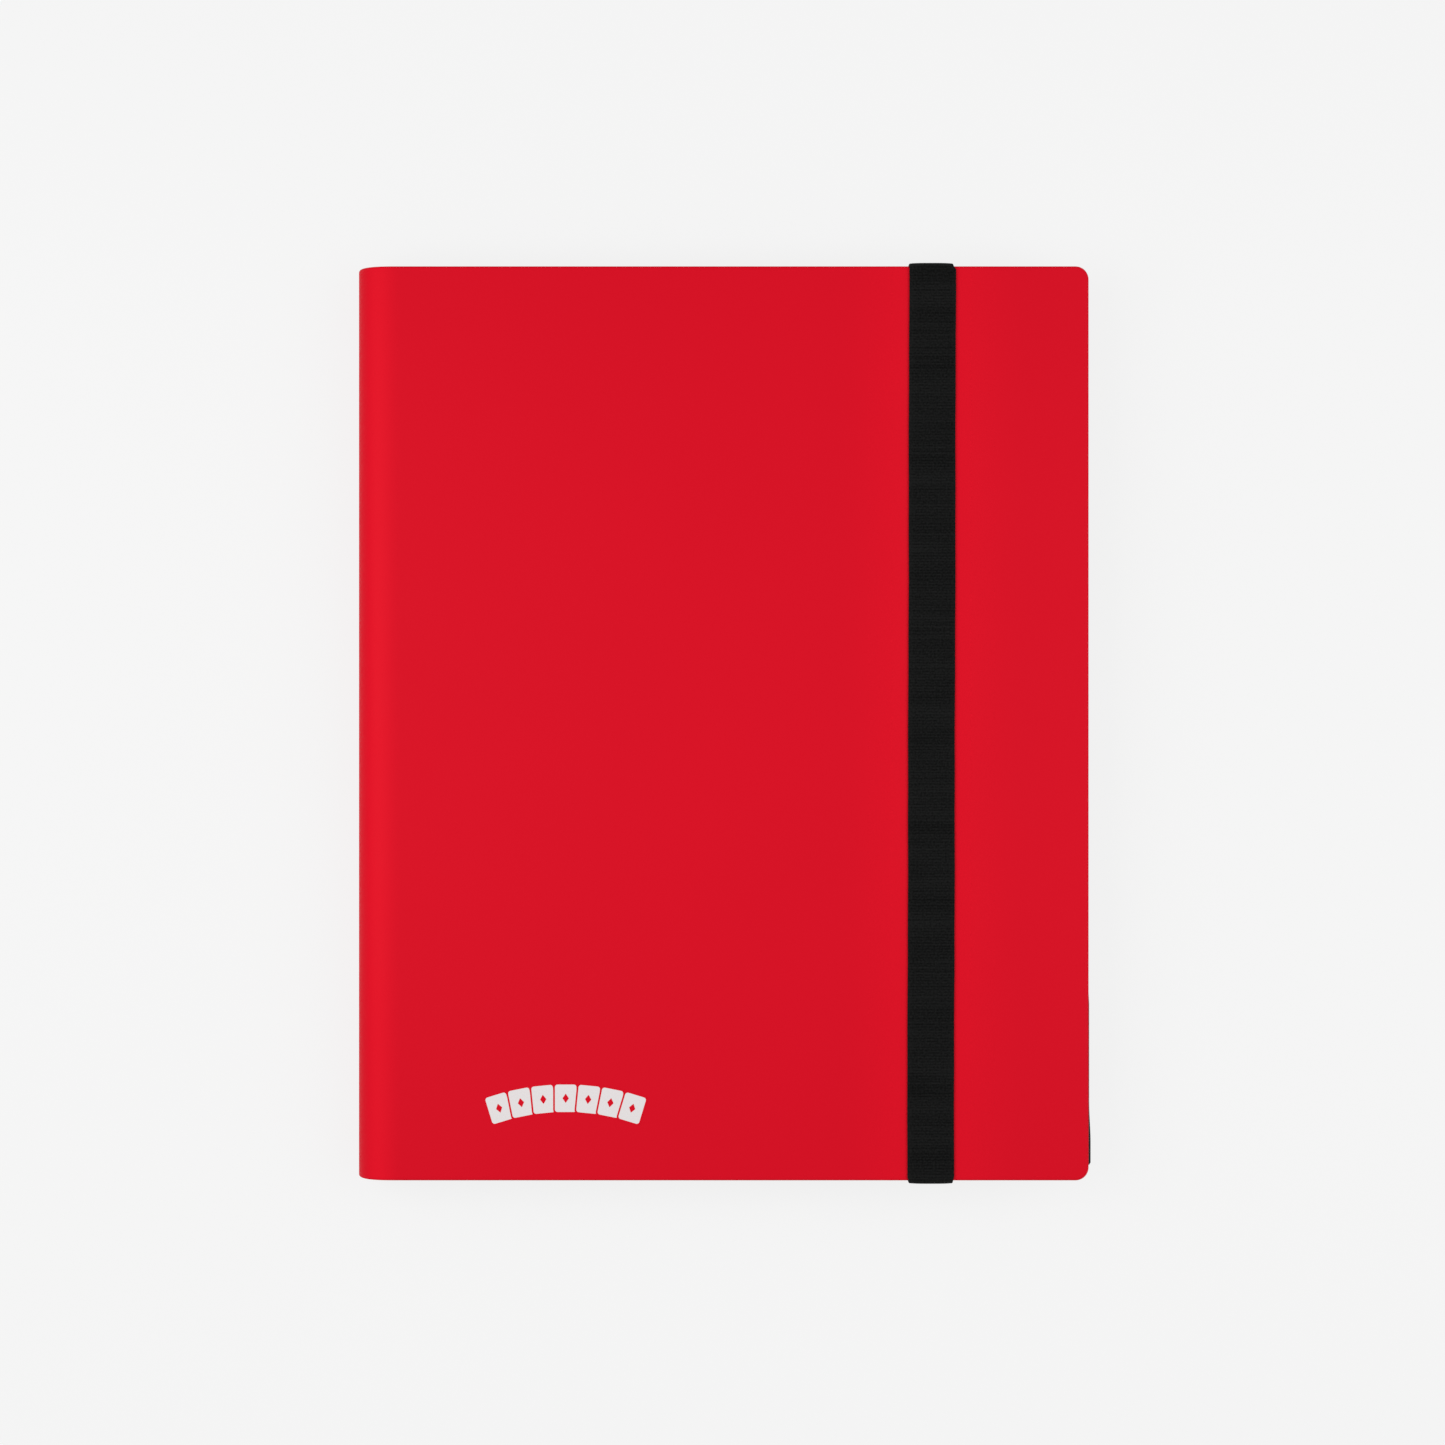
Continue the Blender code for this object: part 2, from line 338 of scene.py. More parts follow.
def lining_creep(s, y):
    """How far the front lining has crept out, to show past the fore edge by the lower corner."""
    down = -y
    from_edge = COVER_LENGTH - s
    creep = (LINING_INSET + CREEP) * smooth_step(down, *CREEP_START)
    creep = creep + CREEP_MORE * smooth_step(down, *CREEP_WIDENS)
    return creep * (1 - smooth_step(down, *CREEP_END)) * smooth_step(from_edge, *CREEP_ACROSS)


def strap_slot(s):
    """1 where the strap leaves the back cover's edge, 0 away from it."""
    off = np.abs(s - STRAP_S) - STRAP_WIDTH / 2
    return 1 - smooth_step(off, *SLOT_EASE)


def cover_layer(name, front, rims, inset, slot_rims=None):
    """One continuous layer of a cover, from the middle of the spine round the crease."""
    length, half = COVER_LENGTH - inset, HALF_H - inset
    creeps = front and inset > 0
    fine_length = CREEP_FINE_LENGTH if creeps else 0
    from_end = nominal_lines(cover_stations(length), RIM_SPAN, RIM_STEPS)
    from_sides = nominal_lines(side_stations(half, fine_length), RIM_SPAN, RIM_STEPS)
    faces = []
    for face, profile in enumerate(rims):
        slot = (slot_rims[face], strap_slot) if slot_rims else None
        s, y, depth = rounded_grid(
            length, half, CORNER_R - inset, profile, RIM_SPAN, from_end, from_sides, slot
        )
        if front and inset == 0:
            depth = depth + pressed(s) * smooth_step(depth, *PRESS_FADE)
        if creeps:
            s = s + lining_creep(s, y)
        faces.append(cover_points(front, s, y, depth))
        if face == 0:
            uv = np.stack([s, y], axis=-1)
    return two_faced_sheet(name, faces[0], faces[1], uv, flip=not front)


def crease_blend(piece, front):
    """Bakes the layer's transform into its mesh."""
    if front:
        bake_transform(piece)
    else:
        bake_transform(piece)


def build_covers(skin_look, lining_look):
    skin_rims = rolled_rim(ROLL_R, SKIN_WALL, FLANGE)
    slot_rims = plain_rim(SKIN_WALL)
    lining_rims = plain_rim(LINING_FACES[1] - LINING_FACES[0], LINING_FACES[0])
    for front, side in ((True, "front"), (False, "back")):
        crease = "front_crease" if front else "rear_crease"
        ways_out = None if front else slot_rims
        skin = cover_layer(f"{side}_cover_skin", front, skin_rims, 0, ways_out)
        skin.data.materials.append(skin_look)
        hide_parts(f"{side}_skin", f"{crease}_skin", "spine_skin")
        crease_blend(skin, front)
        lining = cover_layer(f"{side}_cover_lining", front, lining_rims, LINING_INSET)
        lining.data.materials.append(lining_look)
        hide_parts(f"{side}_lining", f"{crease}_lining", "spine_lining")
        crease_blend(lining, front)


# ---------------------------------------------------------------- strap

# The elastic and its ribs, which stop at a smooth selvage on both sides.
STRAP_T = 0.9 * MM
RIB_PITCH = 0.99 * MM
RIB_HEIGHT = 0.09 * MM
ROWS_PER_RIB = 4
SELVAGE = 1.1 * MM
SELVAGE_STEP = 0.25 * MM
SELVAGE_FILL = 0.75
EDGE_ROUND = 0.3 * MM
FACE_INSET = 3 * MM
FACE_LINES = 4

# How it lies: over the pressed cover, leaning across its length, with wavy edges.
STRAP_LIFT = 0.1 * MM
STRAP_LEAN = 0.35 * MM
EDGE_WAVES = ((0.05 * MM, 17 * MM), (0.03 * MM, 5.3 * MM))

# How it turns down over the covers' edges: rounder, narrower and bowed.
STRAP_BEND_R = 0.75 * MM
TURN_EASE = HALF_H - 1.5 * MM, HALF_H + 0.6 * MM
BEND_NARROWING = 0.05
BEND_BOW = 0.3 * MM
TOP_TURN_SHIFT = 0.5 * MM


def bend(points, radius, steps=7):
    """A polyline in (y, z) with its corners rounded to the radius."""
    points = [np.array(p, float) for p in points]
    path = [points[0]]
    for before, corner, after in zip(points, points[1:], points[2:]):
        to, away = corner - before, after - corner
        to, away = to / np.linalg.norm(to), away / np.linalg.norm(away)
        centre = corner - to * radius + away * radius
        for n in range(steps + 1):
            t = math.pi / 2 * n / steps
            path.append(centre + radius * (to * math.sin(t) - away * math.cos(t)))
    path.append(points[-1])
    return np.array(path)


def strap_path():
    """The middle line of the elastic, from the end tucked in at the bottom to the top one."""
    tuck_z = (TAB_LOW.z + TAB_HIGH.z) / 2
    leg_y = STRAP_HIGH.y - STRAP_T / 2
    run_z = THICK - PRESS_DEPTH + STRAP_LIFT + STRAP_T / 2
    half = [(TAB_LOW.y, tuck_z), (leg_y, tuck_z), (leg_y, run_z)]
    corners = [(-y, z) for y, z in half] + half[::-1]
    path = bend(corners, STRAP_BEND_R)
    steps = np.linalg.norm(np.diff(path, axis=0), axis=1)
    along = np.concatenate([[0], np.cumsum(steps)])
    rows = round(along[-1] / RIB_PITCH) * ROWS_PER_RIB
    at = np.linspace(0, along[-1], rows + 1)
    line = np.stack([np.interp(at, along, path[:, n]) for n in (0, 1)], axis=-1)
    return at, line


def strap_section():
    """(across, side of the band) round the band: both faces, with rounded selvages."""
    half = STRAP_WIDTH / 2
    edge = [half - EDGE_ROUND, half - SELVAGE, half - SELVAGE - SELVAGE_STEP]
    across = np.array(edge + list(np.linspace(half - FACE_INSET, 0, FACE_LINES)))
    face = np.concatenate([across, -across[-2::-1]])
    top = [(x, 1.0) for x in face]
    bottom = [(x, -1.0) for x in face[::-1]]
    shoulder = 0.3 * EDGE_ROUND - half
    turned = [(shoulder, 0.7), (-half, 0.0), (shoulder, -0.7)]
    return np.array(top + turned + bottom + [(-x, -side) for x, side in turned])


def strap_rings(at, line, section):
    """The section at each point of the path, with ribs, wavy edges and its shape at the turns."""
    ahead = np.gradient(line, axis=0)
    ahead /= np.linalg.norm(ahead, axis=1)[:, None]
    outward = np.stack([-ahead[:, 1], ahead[:, 0]], axis=-1)
    half = STRAP_WIDTH / 2
    rib = np.abs(np.sin(math.pi * at / RIB_PITCH))
    ribbed = (np.abs(section[:, 0]) < half - SELVAGE - SELVAGE_STEP / 2).astype(float)
    filled = rib[:, None] * ribbed[None, :] + SELVAGE_FILL * (1 - ribbed[None, :])
    thick = STRAP_T / 2 - RIB_HEIGHT + RIB_HEIGHT * filled
    off = thick * section[None, :, 1]

    lean = STRAP_LEAN * line[:, 0] / HALF_H
    edge_wave = sum(height * np.sin(at / length) for height, length in EDGE_WAVES)
    at_end = smooth_step(np.abs(line[:, 0]), *TURN_EASE)
    across = section[None, :, 0] * (1 - BEND_NARROWING * at_end[:, None])
    bow = BEND_BOW * at_end[:, None] * (across / half) ** 4
    shift = TOP_TURN_SHIFT * at_end * (line[:, 0] > 0)
    x = STRAP_X + (lean + edge_wave - shift)[:, None] + across
    y = line[:, None, 0] + outward[:, None, 0] * off - np.sign(line[:, None, 0]) * bow
    z = line[:, None, 1] + outward[:, None, 1] * off
    return np.stack([x, y, z], axis=-1)


def build_strap(look):
    at, line = strap_path()
    section = strap_section()
    uv = np.stack(np.broadcast_arrays(section[None, :, 0], at[:, None]), axis=-1)
    strap = ringed_solid("elastic_band", strap_rings(at, line, section), uv)
    strap.data.materials.append(look)
    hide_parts("elastic_strap", "strap_tab_top", "strap_tab_bottom")
    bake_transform(strap)


# ---------------------------------------------------------------- pages

PAGES = 20
POCKET_COLUMNS = 3
POCKET_ROWS = 3

# Outline: a bead in the binding, a bare tongue, then the pockets inside a border.
ROOT_GAP = 0.15 * MM
BEAD_R = 0.3 * MM
BEAD_LEAST = 0.01 * MM
TONGUE_END_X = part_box("page_01")[0].x + 19.25 * MM
BORDER = 2.6 * MM
PAGE_CORNER_R = 5 * MM
PAGE_RIM_SPAN = 0.12 * MM
PAGE_RIM_STEPS = 3
PAGE_CORNER_STEP = 0.8 * MM
TONGUE_STEP = 3 * MM

# Heights over the page's middle plane: of the black core, and of the film at a pocket's edge
# and at its crown.
CORE_HALF = 0.11 * MM
FILM_EDGE = 0.2 * MM
POCKET_CROWN = 0.27 * MM
CROWN_POWER = 0.6
MOUTH_RISE = 0.35

# Pockets: the seam between two, the free edge's distance from it, the steps up to the film at
# a weld and at a free edge, and the lines over the crown.
SEAM = 2.4 * MM
OPENING = 3.0 * MM
WELD_STEP = 0.15 * MM
FREE_STEP = 0.12 * MM
CROWN_INSET = 2.5 * MM
CROWN_LINES = 6

# The slow waves of a page that lies loose in the stack: their height, their lengths along x and
# y, the shift from page to page, and where along x they grow to full height.
DRIFT = 0.11 * MM
DRIFT_LENGTHS = 66 * MM, 41 * MM
DRIFT_PHASE = 0.22
DRIFT_EASE = 5 * MM, 60 * MM


def pocket_lines(low, high, count, opening):
    """Stations across the pockets, with close pairs at each seam and free film edge."""
    pitch = (high - low) / count
    lines = []
    for n in range(count):
        start = low + n * pitch
        first, last = start + SEAM / 2, start + pitch - SEAM / 2
        free = first + (OPENING if opening else 0)
        lines += [start, first - WELD_STEP, first + WELD_STEP]
        lines += [free - FREE_STEP, free + FREE_STEP] if opening else []
        lines += list(np.linspace(free + CROWN_INSET, last - CROWN_INSET, CROWN_LINES))
        lines += [last - WELD_STEP, last + WELD_STEP]
    return np.array(lines)


def pocket_rise(value, low, high, count, opening):
    """(1 where there is film, height of its crown from 0 to 1) for one way of the grid."""
    pitch = (high - low) / count
    place = np.mod(value - low, pitch)
    inside = (value > low) & (value < high)
    first, last = SEAM / 2, pitch - SEAM / 2
    free = first + (OPENING if opening else 0)
    near = FREE_STEP if opening else WELD_STEP
    open_side = smooth_step(place, free - near, free + near)
    closed_side = 1 - smooth_step(place, last - WELD_STEP, last + WELD_STEP)
    along = np.clip((place - free) / (last - free), 0, 1)
    crown = np.sin(math.pi * along) ** CROWN_POWER
    crown = np.maximum(crown, MOUTH_RISE * (1 - along)) if opening else crown
    return inside * open_side * closed_side, inside * crown


def page_grid(length, half, pockets, shelf):
    """(x, y, depth below the core's face) over a page, with lines where its height changes."""
    bead = BEAD_R * np.cos(np.linspace(math.pi, 0, 9))[1:]
    tongue = lines_between(TONGUE_STEP / 2, pockets[0] - BORDER, TONGUE_STEP)
    columns = pocket_lines(*pockets, POCKET_COLUMNS, opening=True)
    stations = np.sort(length - np.concatenate([bead, tongue, columns]))
    in_corner = PAGE_CORNER_STEP * np.array([1, 2, 3])
    from_end = np.concatenate([in_corner, stations[stations > in_corner[-1]]])
    rows = pocket_lines(*shelf, POCKET_ROWS, opening=False)
    rows = np.sort(half + np.concatenate([rows[rows < 0], [0]]))
    from_sides = np.concatenate([in_corner[:2], rows])
    turns = np.linspace(0, math.pi / 2, 5)
    rim = np.array([(CORE_HALF * (1 - math.sin(t)), CORE_HALF * (1 - math.cos(t))) for t in turns])
    lines = (nominal_lines(v, PAGE_RIM_SPAN, PAGE_RIM_STEPS) for v in (from_end, from_sides))
    return rounded_grid(length, half, PAGE_CORNER_R, rim, PAGE_RIM_SPAN, *lines)


def page_height(x, y, depth, pockets, shelf):
    """Height over the middle plane: the core, the film and its crowns, and the bead."""
    over_x, crown_x = pocket_rise(x, *pockets, POCKET_COLUMNS, True)
    over_y, crown_y = pocket_rise(y, *shelf, POCKET_ROWS, False)
    crown = (crown_x * crown_y) ** 0.5
    height = CORE_HALF - depth
    height += over_x * over_y * (FILM_EDGE - CORE_HALF + (POCKET_CROWN - FILM_EDGE) * crown)
    in_bead = np.sqrt(np.maximum(BEAD_R**2 - x**2, BEAD_LEAST**2))
    return np.where(np.abs(x) < BEAD_R, np.maximum(in_bead, height * (x > 0)), height)


def page_drift(number, x, y):
    """Rise of the middle plane, which is nearly the same on neighbouring pages."""
    from_cover = number if number <= PAGES // 2 else PAGES + 1 - number
    phase = DRIFT_PHASE * from_cover
    wave = np.sin(y / DRIFT_LENGTHS[1] + phase) * np.sin(x / DRIFT_LENGTHS[0] + 0.5 * phase)
    return DRIFT * wave * smooth_step(x, *DRIFT_EASE)


def page_piece(number, look):
    """One page: a black core with nine clear pockets welded on each side."""
    low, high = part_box(f"page_{number:02d}")
    root_x, mid_z = low.x - ROOT_GAP, (low.z + high.z) / 2
    length, half = high.x - root_x, high.y
    pockets = (TONGUE_END_X + BORDER - root_x, length - BORDER)
    shelf = (-half + BORDER, half - BORDER)
    x, y, depth = page_grid(length, half, pockets, shelf)
    height = page_height(x, y, depth, pockets, shelf)
    middle = mid_z + page_drift(number, x, y)
    faces = [np.stack([root_x + x, y, middle + side * height], axis=-1) for side in (1, -1)]
    uv = np.stack([x - pockets[0], y], axis=-1)
    page = two_faced_sheet(f"pocket_page_{number:02d}", faces[0], faces[1], uv)
    page.data.materials.append(look)
    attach(page, f"page_{number:02d}")
    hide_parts(f"page_{number:02d}")


# ---------------------------------------------------------------- emblem

EMBLEM_X, EMBLEM_Y = -53.6 * MM, -128.5 * MM
CARDS = 7
FAN_RADIUS = 78 * MM
FAN_HALF_TURN_DEG = 17
CARD_WIDTH, CARD_HEIGHT = 8.6 * MM, 10.6 * MM
CARD_CORNER_R = 1.3 * MM
CARD_RIM = 0.6 * MM
FACE_CORNER_R = 0.9 * MM
PIP_HALF_SIZE = 1.1 * MM, 1.6 * MM
INK_STEP = 0.012 * MM
INK_ROOT = 0.1 * MM

# Material slots.
INK, GROUND = 0, 1


def rounded_card(inset, radius, steps=4):
    """A card's outline about its own centre."""
    outline = []
    for n, (a, b) in enumerate(((1, 1), (-1, 1), (-1, -1), (1, -1))):
        for k in range(steps + 1):
            t = math.pi / 2 * (n + k / steps)
            x = a * (CARD_WIDTH / 2 - inset - radius) + radius * math.cos(t)
            y = b * (CARD_HEIGHT / 2 - inset - radius) + radius * math.sin(t)
            outline.append((x, y))
    return outline


def diamond(half_width, half_height):
    return [(half_width, 0), (0, half_height), (-half_width, 0), (0, -half_height)]


def build_emblem(ink, ground):
    """A small printed fan of blank cards, in the place of the maker's printed name."""
    vertices, faces, slots = [], [], []

    def plate(outline, degrees, low, high, slot):
        first, count = len(vertices), len(outline)
        turn = math.radians(-degrees)
        centre_x = EMBLEM_X - FAN_RADIUS * math.sin(turn)
        centre_y = EMBLEM_Y - FAN_RADIUS * (1 - math.cos(turn))
        placed = [
            (
                centre_x + x * math.cos(turn) - y * math.sin(turn),
                centre_y + x * math.sin(turn) + y * math.cos(turn),
            )
            for x, y in outline
        ]
        for z in (low, high):
            vertices.extend((x, y, z) for x, y in placed)
        faces.append([first + n for n in reversed(range(count))])
        faces.append([first + count + n for n in range(count)])
        for n in range(count):
            after = (n + 1) % count
            faces.append([first + n, first + after, first + count + after, first + count + n])
        slots.extend([slot] * (count + 2))

    for n in range(CARDS):
        degrees = FAN_HALF_TURN_DEG * (2 * n / (CARDS - 1) - 1)
        low = THICK + INK_STEP * n
        rim, face = rounded_card(0, CARD_CORNER_R), rounded_card(CARD_RIM, FACE_CORNER_R)
        plate(rim, degrees, low - INK_ROOT, low + 0.4 * INK_STEP, GROUND)
        plate(face, degrees, low, low + 0.8 * INK_STEP, INK)
        plate(diamond(*PIP_HALF_SIZE), degrees, low, low + INK_STEP, GROUND)
    uvs = [(x, y) for x, y, z in vertices]
    emblem = finish_mesh("printed_card_fan", vertices, faces, uvs, sharp_deg=30)
    emblem.data.materials.append(ink)
    emblem.data.materials.append(ground)
    emblem.data.polygons.foreach_set("material_index", slots)
    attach(emblem, "front_cover")


# ---------------------------------------------------------------- looks


class Look:
    """A Principled material with short helpers for its nodes."""

    def __init__(self, name, roughness, specular=0.5, **values):
        self.material = bpy.data.materials.new(name)
        self.material.use_nodes = True
        self.nodes = self.material.node_tree.nodes
        self.links = self.material.node_tree.links
        self.shader = self.nodes["Principled BSDF"]
        self.shader.inputs["Roughness"].default_value = roughness
        self.shader.inputs["Specular IOR Level"].default_value = specular
        for key, value in values.items():
            self.shader.inputs[key.replace("_", " ")].default_value = value

    def node(self, kind, **inputs):
        made = self.nodes.new(kind)
        for key, value in inputs.items():
            self.put(value, made.inputs[key.replace("_", " ")])
        return made

    def put(self, value, socket):
        if isinstance(value, bpy.types.NodeSocket):
            self.links.new(value, socket)
        else:
            socket.default_value = value

    def cloth(self):
        """The piece's own coordinates in metres, which stay put when it bends."""
        made = self.nodes.new("ShaderNodeUVMap")
        made.uv_map = "cloth"
        return made.outputs["UV"]

    def parts(self, vector):
        return self.node("ShaderNodeSeparateXYZ", Vector=vector).outputs

    def math(self, operation, a, b=0.0, c=0.0):
        made = self.nodes.new("ShaderNodeMath")
        made.operation = operation
        for value, socket in zip((a, b, c), made.inputs):
            self.put(value, socket)
        return made.outputs["Value"]

    def noise(self, vector, size, detail=2.0, roughness=0.5):
        made = self.node("ShaderNodeTexNoise", Vector=vector, Scale=1 / size)
        made.inputs["Detail"].default_value = detail
        made.inputs["Roughness"].default_value = roughness
        return made.outputs["Fac"]

    def stretched(self, vector, x_size, y_size):
        """The vector in cells of the given size, for a pattern that is longer one way."""
        made = self.nodes.new("ShaderNodeVectorMath")
        made.operation = "MULTIPLY"
        self.put(vector, made.inputs[0])
        made.inputs[1].default_value = (1 / x_size, 1 / y_size, 1)
        return made.outputs["Vector"]

    def spread(self, value, low, high):
        """The value, from 0 to 1, stretched to run from low to high."""
        made = self.node("ShaderNodeMapRange", Value=value)
        made.inputs["To Min"].default_value = low
        made.inputs["To Max"].default_value = high
        return made.outputs["Result"]

    def mix(self, factor, a, b):
        made = self.nodes.new("ShaderNodeMix")
        made.data_type = "RGBA"
        self.put(factor, made.inputs["Factor"])
        self.put(a, made.inputs["A"])
        self.put(b, made.inputs["B"])
        return made.outputs["Result"]

    def wave(self, value, pitch):
        """0 to 1 and back over each pitch."""
        turns = self.math("MULTIPLY", value, 2 * math.pi / pitch)
        return self.math("MULTIPLY_ADD", self.math("SINE", turns), 0.5, 0.5)

    def band(self, value, centre, width):
        """1 at the centre, falling to 0 over the width on both sides."""
        off = self.math("ABSOLUTE", self.math("SUBTRACT", value, centre))
        made = self.node("ShaderNodeMapRange", Value=off)
        made.interpolation_type = "SMOOTHSTEP"
        made.inputs["From Min"].default_value = 0
        made.inputs["From Max"].default_value = width
        made.inputs["To Min"].default_value = 1
        made.inputs["To Max"].default_value = 0
        return made.outputs["Result"]

    def bump(self, height, distance):
        made = self.node("ShaderNodeBump", Height=height, Distance=distance)
        made.inputs["Strength"].default_value = 1
        return made.outputs["Normal"]

    def finish(self, colour, normal=None, roughness=None):
        for value, key in ((colour, "Base Color"), (normal, "Normal"), (roughness, "Roughness")):
            if value is not None:
                self.put(value, self.shader.inputs[key])
        return self.material


def red_skin():
    """Smooth red polyurethane with a fine leather grain, and painted highlights over the rounded
    shoulders and beside the strap.
    """
    look = Look("red_skin", 0.48, specular=0.045)
    cloth = look.cloth()
    s = look.parts(cloth)["X"]
    # Painted highlight: the colour is paler over the rounded shoulders by the spine, where they
    # catch the light.
    shoulder = look.band(s, SPINE_HALF + CREASE_LENGTH - 7.5 * MM, 9 * MM)
    # Painted highlight: the colour is paler within 34 mm either side of the strap, where the
    # pressed cover catches the light.
    painted_strap_highlight = look.band(s, STRAP_S, 34 * MM)
    broad = look.spread(look.noise(cloth, 90 * MM, 2), 0.2, 0.4)
    shade = look.math("MULTIPLY_ADD", painted_strap_highlight, 0.42, broad)
    shade = look.math("MULTIPLY_ADD", shoulder, 0.72, shade)
    colour = look.mix(shade, (0.655, 0.0037, 0.0163, 1), (0.785, 0.0045, 0.0188, 1))
    fine = look.noise(cloth, 0.55 * MM, 3, 0.6)
    pebble = look.node("ShaderNodeTexVoronoi", Vector=cloth, Scale=1 / (0.8 * MM))
    grain = look.math("MULTIPLY_ADD", pebble.outputs["Distance"], 0.6, fine)
    normal = look.bump(grain, 0.024 * MM)
    rough = look.spread(look.noise(cloth, 25 * MM, 3), 0.42, 0.54)
    return look.finish(colour, normal, rough)


def black_lining():
    """Black lining with a textile grain."""
    look = Look("black_lining", 0.62, specular=0.3)
    cloth = look.cloth()
    parts = look.parts(cloth)
    warp = look.wave(parts["X"], 0.9 * MM)
    weft = look.wave(parts["Y"], 0.9 * MM)
    weave = look.math("MULTIPLY", warp, weft)
    fine = look.noise(cloth, 0.4 * MM, 2)
    height = look.math("MULTIPLY_ADD", fine, 0.5, weave)
    wear = look.noise(cloth, 14 * MM, 3)
    colour = look.mix(wear, (0.010, 0.010, 0.011, 1), (0.018, 0.018, 0.019, 1))
    return look.finish(colour, look.bump(height, 0.05 * MM))


def ribbed_elastic():
    """Black elastic: painted highlights on its rib tops, paler selvages, and uneven rows and fuzz.
    """
    look = Look("ribbed_elastic", 0.9, specular=0.1, Sheen_Weight=0.03, Sheen_Roughness=0.5)
    cloth = look.cloth()
    parts = look.parts(cloth)
    selvage = look.band(look.math("ABSOLUTE", parts["X"]), STRAP_WIDTH / 2, 2.4 * MM)
    # Painted highlight: the colour is paler over each rib's top and darker in the hollows between,
    # in step with the ribs' shape.
    ribs = look.wave(look.math("SUBTRACT", parts["Y"], RIB_PITCH / 4), RIB_PITCH)
    rows = look.noise(look.stretched(cloth, 45 * MM, 1.1 * MM), 1, 1)
    swathes = look.noise(look.stretched(cloth, 50 * MM, 8 * MM), 1, 1)
    fuzz = look.noise(cloth, 0.65 * MM, 2, 0.6)
    shade = look.math("MULTIPLY_ADD", ribs, 0.34, look.spread(fuzz, -0.95, 1.6))
    shade = look.math("ADD", shade, look.spread(rows, -0.4, 0.4))
    shade = look.math("ADD", shade, look.spread(swathes, -0.4, 0.4))
    shade = look.math("MULTIPLY_ADD", selvage, 0.2, shade)
    colour = look.mix(shade, (0.0014, 0.0016, 0.0015, 1), (0.0096, 0.0099, 0.0097, 1))
    return look.finish(colour, look.bump(fuzz, 0.05 * MM))


def pocket_film():
    """Clear film over a black woven core: the weave shows through a glossy coat."""
    look = Look("pocket_film", 0.5, specular=0.4, Coat_Weight=0.8, Coat_Roughness=0.09)
    cloth = look.cloth()
    parts = look.parts(cloth)
    weave = look.math("MULTIPLY", look.wave(parts["X"], 1.1 * MM), look.wave(parts["Y"], 1.1 * MM))
    haze = look.noise(cloth, 35 * MM, 3)
    shade = look.math("MULTIPLY_ADD", weave, 0.35, look.math("MULTIPLY", haze, 0.5))
    colour = look.mix(shade, (0.010, 0.010, 0.011, 1), (0.034, 0.034, 0.037, 1))
    ripple = look.noise(cloth, 28 * MM, 2)
    return look.finish(colour, look.bump(ripple, 0.25 * MM), look.spread(haze, 0.38, 0.55))


def binding_tape():
    """Black woven tape over the strip that carries the pages."""
    look = Look("binding_tape", 0.7, specular=0.2)
    where = look.node("ShaderNodeTexCoord").outputs["Object"]
    parts = look.parts(where)
    weave = look.math("MULTIPLY", look.wave(parts["Y"], 0.9 * MM), look.wave(parts["Z"], 0.9 * MM))
    colour = look.mix(weave, (0.008, 0.008, 0.009, 1), (0.022, 0.022, 0.024, 1))
    return look.finish(colour, look.bump(weave, 0.05 * MM))


def grey_board():
    """Recycled greyboard with short fibres."""
    look = Look("grey_board", 0.9, specular=0.15)
    where = look.node("ShaderNodeTexCoord").outputs["Object"]
    fibre = look.noise(where, 1.2 * MM, 4, 0.7)
    colour = look.mix(fibre, (0.20, 0.18, 0.155, 1), (0.36, 0.33, 0.285, 1))
    return look.finish(colour, look.bump(fibre, 0.05 * MM))


def printed_white():
    """Off-white ink, a little thin over the grain."""
    look = Look("printed_white", 0.5, specular=0.2)
    cloth = look.cloth()
    thin = look.noise(cloth, 0.5 * MM, 3, 0.6)
    colour = look.mix(look.spread(thin, 0.2, 1), (0.72, 0.66, 0.66, 1), (0.86, 0.83, 0.83, 1))
    return look.finish(colour, look.bump(thin, 0.01 * MM))


TABLE_GLOW = 0.819


def pale_floor():
    """A white acrylic table lit from below, which leaves only a faint contact shadow."""
    look = Look("pale_floor", 0.9, specular=0.0, Emission_Color=(1, 1, 1, 1))
    look.shader.inputs["Emission Strength"].default_value = TABLE_GLOW
    where = look.node("ShaderNodeTexCoord").outputs["Object"]
    cloud = look.noise(where, 0.4, 2)
    colour = look.mix(cloud, (0.095, 0.095, 0.095, 1), (0.105, 0.105, 0.105, 1))
    return look.finish(colour)


# ---------------------------------------------------------------- stage

SENSOR_MM = 36
CAMERA_HEIGHT = 0.9
VIEW_WIDTH = 495.3 * MM
CAMERA_XY = 0.15 * MM, 0.3 * MM
FLOOR_HALF = 12
FLOOR_GAP = 0.1 * MM
BACKDROP = 0.917
FILL = 0.42

# (name, place, size, watts)
LAMPS = (
    ("left_softbox", (-0.45, 0.03, 0.6), (0.45, 0.6), 2.45),
    ("right_softbox", (0.45, 0.03, 0.6), (0.45, 0.6), 1.95),
)


def add_camera():
    """Straight above the front cover, to see VIEW_WIDTH across at the cover's height."""
    scene = bpy.context.scene
    camera = bpy.data.objects.new("camera", bpy.data.cameras.new("camera"))
    camera.data.sensor_width = SENSOR_MM
    camera.data.lens = SENSOR_MM * CAMERA_HEIGHT / VIEW_WIDTH
    camera.location = (*CAMERA_XY, THICK + CAMERA_HEIGHT)
    scene.collection.objects.link(camera)
    scene.camera = camera


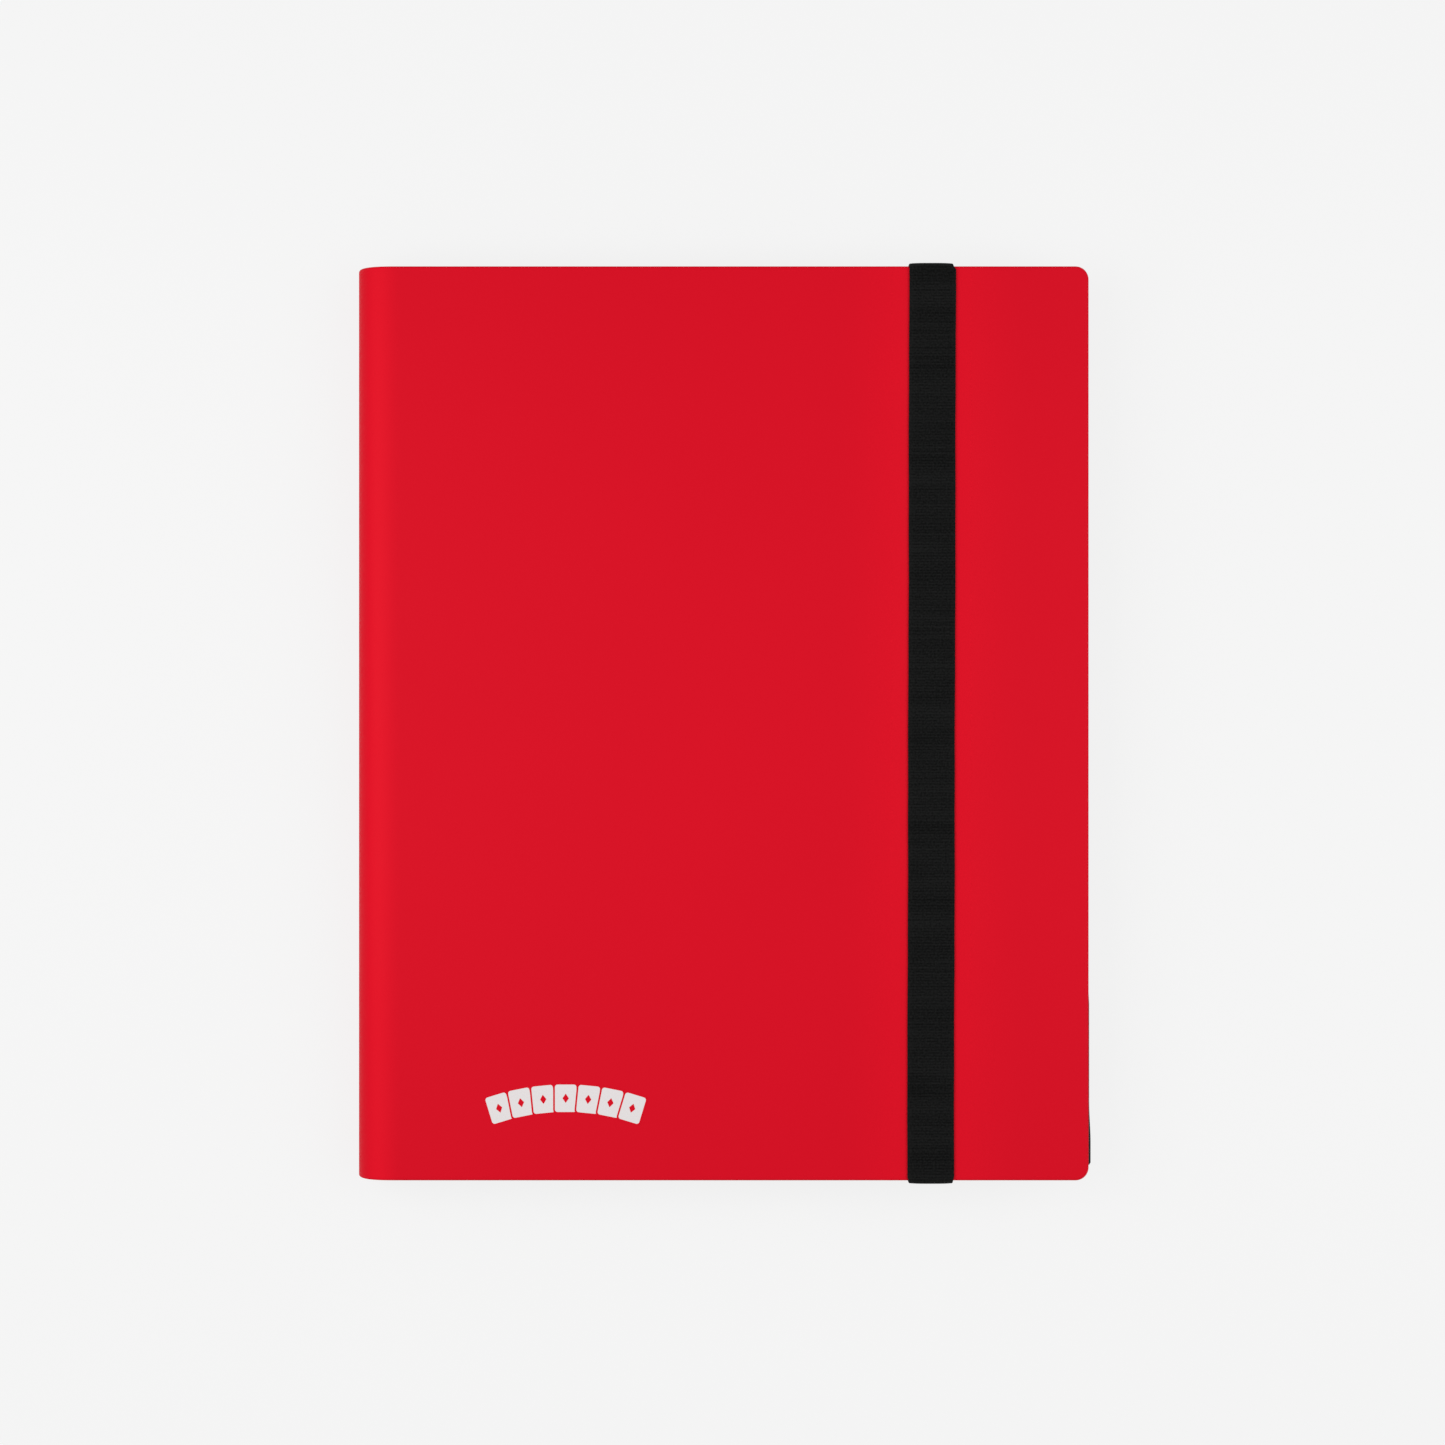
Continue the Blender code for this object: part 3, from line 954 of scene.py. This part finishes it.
def add_floor():
    """The table, just under the binder."""
    mesh = bpy.data.meshes.new("floor")
    corners = [(a * FLOOR_HALF, b * FLOOR_HALF, 0) for a, b in ((-1, -1), (1, -1), (1, 1), (-1, 1))]
    mesh.from_pydata(corners, [], [(0, 1, 2, 3)])
    mesh.materials.append(pale_floor())
    floor = bpy.data.objects.new("floor", mesh)
    floor.location.z = -FLOOR_GAP
    bpy.context.scene.collection.objects.link(floor)


def add_world():
    """An even white fill, which the camera sees as a slightly grey backdrop."""
    world = bpy.data.worlds.new("studio")
    bpy.context.scene.world = world
    world.use_nodes = True
    nodes, links = world.node_tree.nodes, world.node_tree.links
    fill = nodes["Background"]
    fill.inputs["Color"].default_value = (1, 1, 1, 1)
    fill.inputs["Strength"].default_value = FILL
    backdrop = nodes.new("ShaderNodeBackground")
    backdrop.inputs["Color"].default_value = (BACKDROP, BACKDROP, BACKDROP, 1)
    path = nodes.new("ShaderNodeLightPath")
    choose = nodes.new("ShaderNodeMixShader")
    links.new(path.outputs["Is Camera Ray"], choose.inputs["Fac"])
    links.new(fill.outputs["Background"], choose.inputs[1])
    links.new(backdrop.outputs["Background"], choose.inputs[2])
    links.new(choose.outputs["Shader"], nodes["World Output"].inputs["Surface"])


def add_lamp(name, place, size, watts):
    """A softbox that faces the binder."""
    data = bpy.data.lights.new(name, "AREA")
    data.shape = "RECTANGLE"
    data.size, data.size_y = size
    data.energy = watts
    lamp = bpy.data.objects.new(name, data)
    lamp.location = place
    lamp.rotation_euler = (-Vector(place)).to_track_quat("-Z", "Y").to_euler()
    bpy.context.scene.collection.objects.link(lamp)


# ---------------------------------------------------------------- build

bpy.context.scene.view_settings.view_transform = "Standard"
add_camera()
add_floor()
add_world()
for lamp in LAMPS:
    add_lamp(*lamp)

skin_look = red_skin()
build_covers(skin_look, black_lining())
build_strap(ribbed_elastic())
film = pocket_film()
for page_number in range(1, PAGES + 1):
    page_piece(page_number, film)
build_emblem(printed_white(), skin_look)

board = grey_board()
for node, look in (
    ("front_board", board),
    ("back_board", board),
    ("spine_board", board),
    ("page_binding_strip", binding_tape()),
):
    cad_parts[node].data.materials.clear()
    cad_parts[node].data.materials.append(look)
